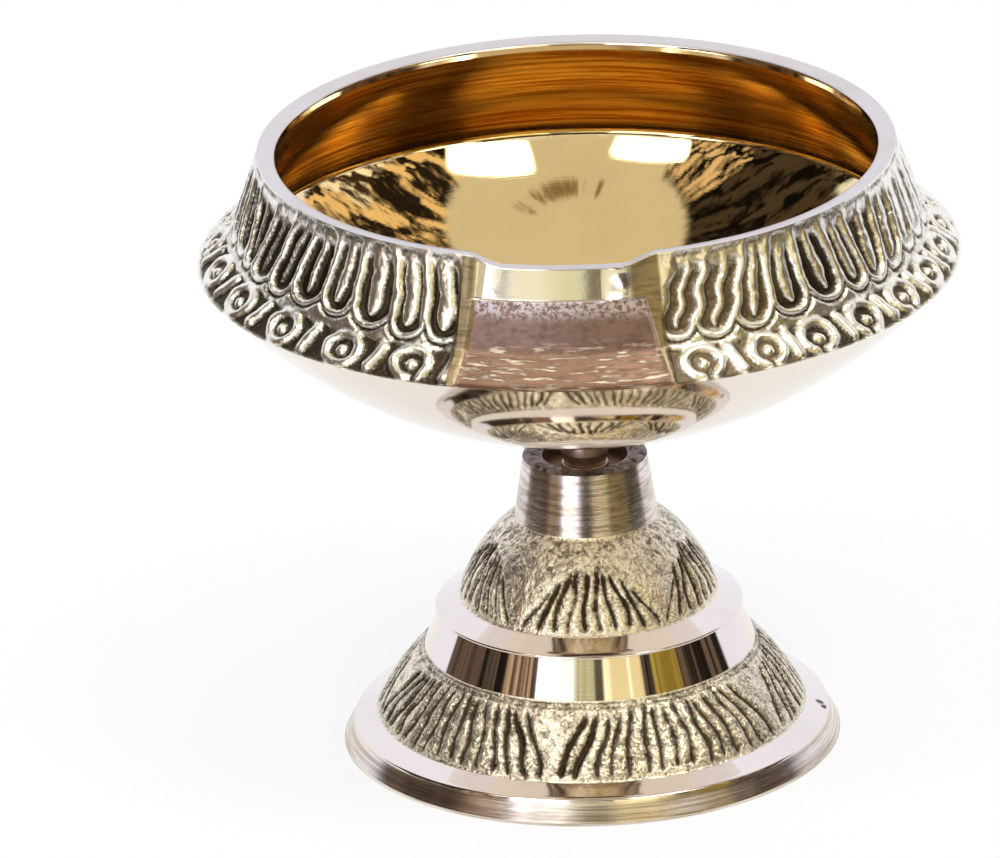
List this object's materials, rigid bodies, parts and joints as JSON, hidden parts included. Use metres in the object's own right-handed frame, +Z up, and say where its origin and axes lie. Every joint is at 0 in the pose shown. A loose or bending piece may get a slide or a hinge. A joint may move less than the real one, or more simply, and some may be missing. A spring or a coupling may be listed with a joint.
{
  "type": "footed oil lamp",
  "caption": "Shallow brass oil bowl with a cast frieze and a wick rest, screwed onto a stepped hollow foot with ribbed domes.",
  "frame": {"origin": "centre of the foot's rest ring, on the surface that the lamp stands on", "axes": "+Z up along the screw's axis, -Y towards the wick rest, +X to the right as seen from the wick rest's side"},
  "size_m": [0.1, 0.1, 0.0828],
  "materials": {
    "foot_brass": "cast domes left rough, turned bands polished to a mirror",
    "washer_brass": "turned, dulled",
    "bowl_brass": "turned and polished to a mirror, frieze left as cast",
    "stud_brass": "machined, dulled"
  },
  "bodies": {
    "foot": {"foot": "foot_brass"},
    "seat_washer": {"seat_washer": "washer_brass"},
    "bowl": {"bowl": "bowl_brass", "stud": "stud_brass"}
  },
  "joints": [
    {"name": "bowl_lift", "type": "slide", "parent": "foot", "child": "seat_washer", "axis": [0, 0, 1], "range_m": [0, 0.00635]},
    {"name": "bowl_turn", "type": "hinge", "parent": "seat_washer", "child": "bowl", "pos_m": [0, 0, 0.0384], "axis": [0, 0, 1], "range_deg": [0, 2160]}
  ],
  "couplings": [
    {"joint": "bowl_lift", "follows": "bowl_turn", "m_per_rad": 0.00016844}
  ]
}
